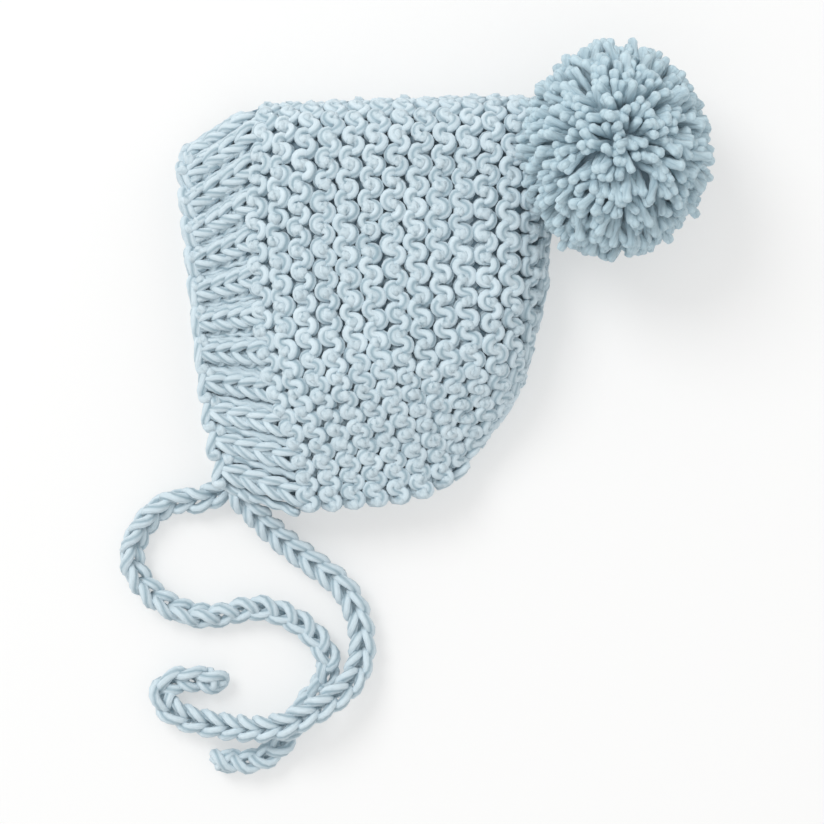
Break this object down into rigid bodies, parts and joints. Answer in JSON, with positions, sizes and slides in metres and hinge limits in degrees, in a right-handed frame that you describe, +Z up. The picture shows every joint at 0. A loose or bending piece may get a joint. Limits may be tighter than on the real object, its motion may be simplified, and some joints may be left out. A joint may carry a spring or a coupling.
{
  "type": "baby bonnet",
  "caption": "Chunky hand-knit baby bonnet in pale blue garter stitch, lying on its side, with a ribbed face band, a full pompom on the peak and a braided tie at each lower corner.",
  "frame": {"origin": "on the table, under the middle of the box of hood, face band and pompom", "axes": "+X from the face opening towards the back of the head, +Y from the neck up to the crown, +Z up from the table"},
  "size_m": [0.2661, 0.3281, 0.0879],
  "materials": {
    "garter_knit": "matte",
    "rib_knit": "matte",
    "pompom_yarn": "matte",
    "tie_braid": "matte"
  },
  "bodies": {
    "root": {"hood": "garter_knit", "face_band": "rib_knit", "pompom": "pompom_yarn", "tie_upper": "tie_braid", "tie_lower": "tie_braid"}
  },
  "joints": []
}
